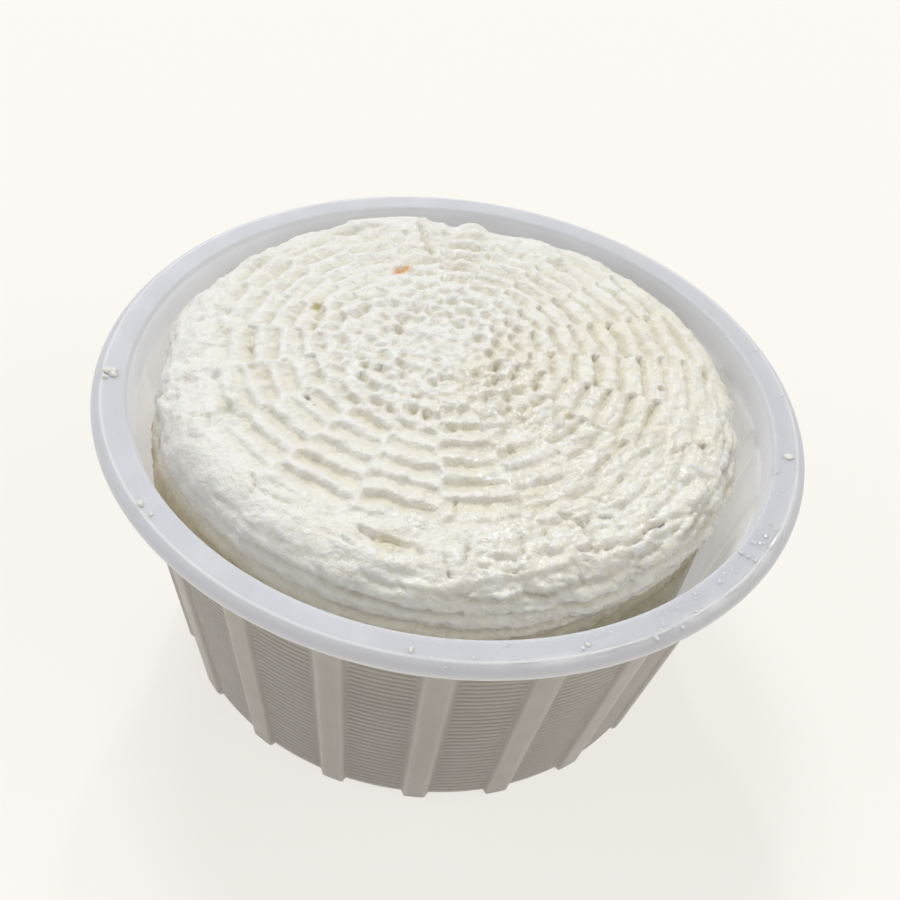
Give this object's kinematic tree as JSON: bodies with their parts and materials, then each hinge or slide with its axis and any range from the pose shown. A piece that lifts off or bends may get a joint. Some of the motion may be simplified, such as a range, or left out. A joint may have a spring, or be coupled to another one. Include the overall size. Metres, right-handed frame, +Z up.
{
  "type": "goat ricotta in its draining basket",
  "caption": "Domed fresh goat cheese with a printed top, turned over in a round tapered plastic draining basket with ribs, louvred panels and a flat flange.",
  "frame": {"origin": "bottom centre of the bounding box, on the surface that the basket's feet stand on", "axes": "+Z up along the basket's axis, which is the shortest extent; the picture is taken from the -Y side, with +X to the right"},
  "size_m": [0.17, 0.17, 0.0853],
  "materials": {
    "ricotta_curd": "moist fresh curd, soft and slightly glossy",
    "basket_plastic": "milky translucent moulded plastic, satin"
  },
  "bodies": {
    "root": {"ricotta": "ricotta_curd", "basket": "basket_plastic"}
  },
  "joints": []
}
